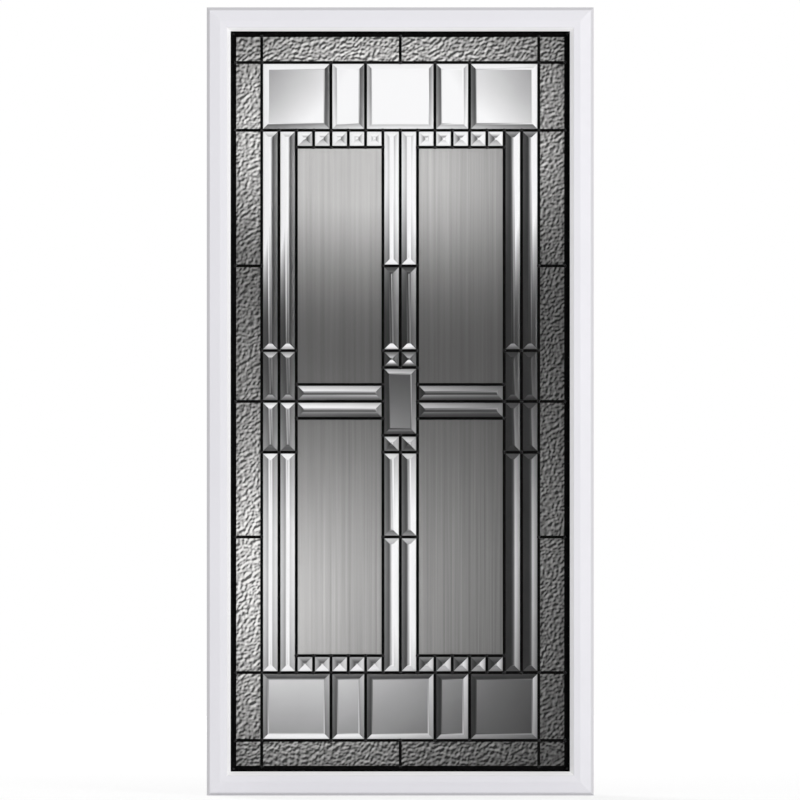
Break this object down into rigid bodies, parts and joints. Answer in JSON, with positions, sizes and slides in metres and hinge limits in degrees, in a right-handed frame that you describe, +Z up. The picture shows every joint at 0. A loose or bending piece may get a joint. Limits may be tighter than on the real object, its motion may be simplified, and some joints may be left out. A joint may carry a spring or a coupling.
{
  "type": "decorative door glass insert",
  "caption": "Tall door-glass insert: a leaded panel of bevelled, reeded and hammered glass, sealed between clear panes and clamped in a door cut-out by white moulded frames.",
  "frame": {"origin": "centre of the glass, half-way through the door leaf", "axes": "+Z up along the height, +Y from the outdoor face to the indoor face, +X to the right seen from outdoors"},
  "size_m": [0.625, 0.0706, 1.273],
  "materials": {
    "frame_white": "white moulded polymer, satin",
    "plug_white": "white moulded polymer, satin",
    "screw_steel": "zinc plated steel",
    "clear_pane": "clear tempered float glass",
    "spacer_black": "black warm-edge spacer",
    "sealant_black": "black edge sealant",
    "tape_grey": "grey foam glazing tape",
    "block_rubber": "black rubber",
    "came_patina": "zinc came with black patina",
    "bevel_glass": "polished bevelled plate glass",
    "hammered_glass": "hammered textured glass",
    "reeded_glass": "finely reeded textured glass"
  },
  "bodies": {
    "root": {"bevel_divider_cames": "came_patina", "border_came_bottom": "came_patina", "border_came_left": "came_patina", "border_came_right": "came_patina", "border_came_top": "came_patina", "border_glass_bottom": "hammered_glass", "border_glass_left": "hammered_glass", "border_glass_right": "hammered_glass", "border_glass_top": "hammered_glass", "border_tie_cames": "came_patina", "bottom_rail_came": "came_patina", "centre_bevel": "bevel_glass", "centre_cames": "came_patina", "centre_jewels": "bevel_glass", "centre_strip_bevels": "bevel_glass", "centre_tie_cames": "came_patina", "corner_squares": "hammered_glass", "cross_bar_bevels": "bevel_glass", "cross_bar_cames": "came_patina", "edge_sealant": "sealant_black", "exterior_frame": "frame_white", "exterior_glazing_tape": "tape_grey", "exterior_pane": "clear_pane", "exterior_spacer": "spacer_black", "footer_came": "came_patina", "frame_screws": "screw_steel", "header_came": "came_patina", "interior_frame": "frame_white", "interior_glazing_tape": "tape_grey", "interior_pane": "clear_pane", "interior_spacer": "spacer_black", "jewel_divider_cames": "came_patina", "jewel_rail_cames": "came_patina", "left_strip_bevels": "bevel_glass", "lower_centre_square": "bevel_glass", "lower_jewels": "bevel_glass", "lower_left_panel": "reeded_glass", "lower_left_square": "bevel_glass", "lower_right_panel": "reeded_glass", "lower_right_square": "bevel_glass", "narrow_bevels": "bevel_glass", "right_strip_bevels": "bevel_glass", "screw_plugs": "plug_white", "setting_blocks": "block_rubber", "side_tie_cames": "came_patina", "stile_came_left": "came_patina", "stile_came_right": "came_patina", "strip_came_centre_left": "came_patina", "strip_came_centre_right": "came_patina", "strip_came_left_inner": "came_patina", "strip_came_left_outer": "came_patina", "strip_came_right_inner": "came_patina", "strip_came_right_outer": "came_patina", "top_rail_came": "came_patina", "upper_centre_square": "bevel_glass", "upper_jewels": "bevel_glass", "upper_left_panel": "reeded_glass", "upper_left_square": "bevel_glass", "upper_right_panel": "reeded_glass", "upper_right_square": "bevel_glass"}
  },
  "joints": []
}
